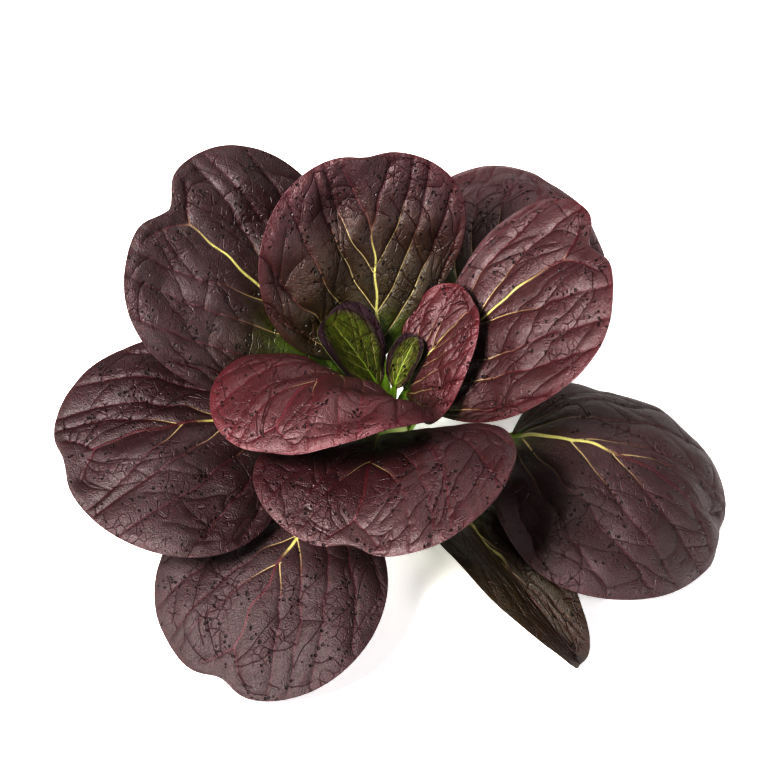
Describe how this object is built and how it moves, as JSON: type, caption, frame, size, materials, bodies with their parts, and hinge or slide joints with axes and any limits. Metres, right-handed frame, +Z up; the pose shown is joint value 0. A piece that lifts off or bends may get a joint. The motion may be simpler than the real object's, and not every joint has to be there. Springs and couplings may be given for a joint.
{
  "type": "bok choy head",
  "caption": "Open head of purple bok choy, cut at the root: broad veined leaves on slim pale stalks, arching out from a short crown around a small green heart.",
  "frame": {"origin": "centre of the crown's cut face, which is the head's base", "axes": "+Z up along the crown out of the cut face, -Y towards the front where the two low front leaves lie, +X to the right as seen from the front"},
  "size_m": [0.2671, 0.2363, 0.1102],
  "materials": {
    "leaf_purple": "waxy satin, quilted between sunken veins, dark purple over olive, pale green stalk and midrib",
    "heart_leaf": "satin, bright yellow-green with a dark purple rim",
    "crown": "pale green, moist cut flesh below, ridged leaf bases above"
  },
  "bodies": {
    "root": {"crown": "crown", "leaf_back_left": "leaf_purple", "leaf_back_centre": "leaf_purple", "leaf_back_right": "leaf_purple", "leaf_far_right": "leaf_purple", "leaf_left": "leaf_purple", "leaf_low_left": "leaf_purple", "leaf_low_right": "leaf_purple", "leaf_right": "leaf_purple", "leaf_front_centre": "leaf_purple", "leaf_front_left": "leaf_purple", "leaf_heart_right": "leaf_purple", "leaf_heart_left": "heart_leaf", "leaf_heart_bud": "heart_leaf"}
  },
  "joints": []
}
